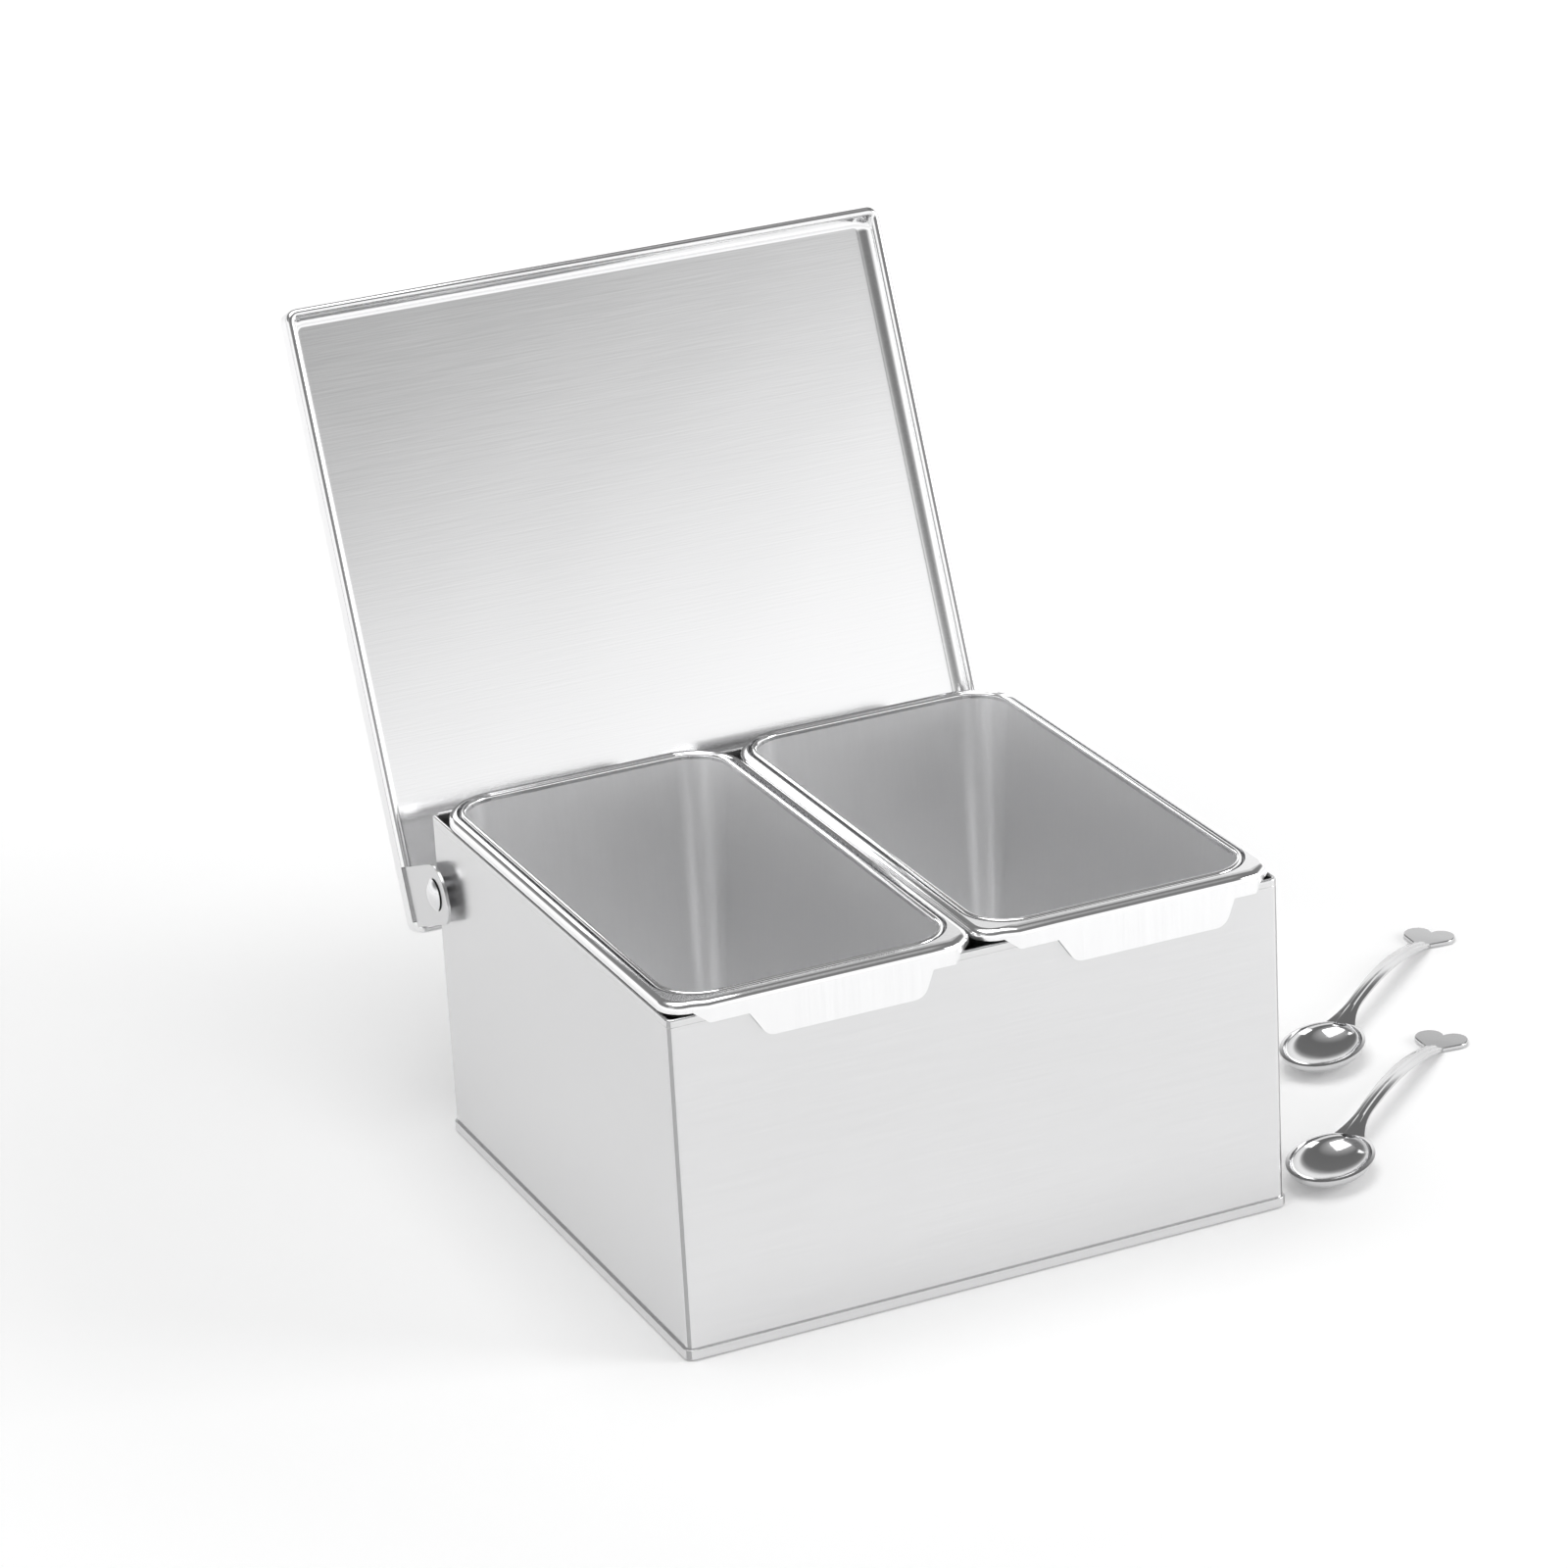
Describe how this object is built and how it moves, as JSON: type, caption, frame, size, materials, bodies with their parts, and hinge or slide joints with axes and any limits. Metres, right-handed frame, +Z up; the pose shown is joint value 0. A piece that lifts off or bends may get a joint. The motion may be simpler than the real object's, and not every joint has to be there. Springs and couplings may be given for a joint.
{
  "type": "bar garnish tray",
  "caption": "Sheet steel garnish case with lift-out pans under a hinged lid, and long-handled spoons with heart-shaped ends.",
  "frame": {"origin": "centre of the flat underside of the case, on the surface it stands on", "axes": "+X to the right along the front, +Y to the rear, +Z up; the pull tabs face -Y"},
  "size_m": [0.3561, 0.2836, 0.2525],
  "materials": {
    "case_sheet": "fine brushed, bright",
    "lid_sheet": "fine brushed, bright",
    "pan_sheet": "satin, polished rims",
    "hinge_steel": "satin",
    "rivet_steel": "polished",
    "spoon_steel": "mirror polished"
  },
  "bodies": {
    "case": {"case_shell": "case_sheet", "case_base": "case_sheet", "rivet_left": "rivet_steel", "rivet_right": "rivet_steel", "spacer_left": "hinge_steel", "spacer_right": "hinge_steel"},
    "lid_body": {"lid": "lid_sheet", "ear_left": "hinge_steel", "ear_right": "hinge_steel"},
    "pan_left_body": {"pan_left": "pan_sheet"},
    "pan_right_body": {"pan_right": "pan_sheet"},
    "spoon_front_body": {"spoon_front": "spoon_steel"},
    "spoon_rear_body": {"spoon_rear": "spoon_steel"}
  },
  "joints": [
    {"name": "lid_hinge", "type": "hinge", "parent": "case", "child": "lid_body", "pos_m": [0, 0.084, 0.0852], "axis": [1, 0, 0], "range_deg": [-23, 113.2]},
    {"name": "pan_left_lift", "type": "slide", "parent": "case", "child": "pan_left_body", "axis": [0, 0, 1], "range_m": [0, 0.12]},
    {"name": "pan_right_lift", "type": "slide", "parent": "case", "child": "pan_right_body", "axis": [0, 0, 1], "range_m": [0, 0.12]},
    {"name": "spoon_front_lift", "type": "slide", "parent": "case", "child": "spoon_front_body", "axis": [0, 0, 1], "range_m": [0, 0.12]},
    {"name": "spoon_rear_lift", "type": "slide", "parent": "case", "child": "spoon_rear_body", "axis": [0, 0, 1], "range_m": [0, 0.12]}
  ]
}
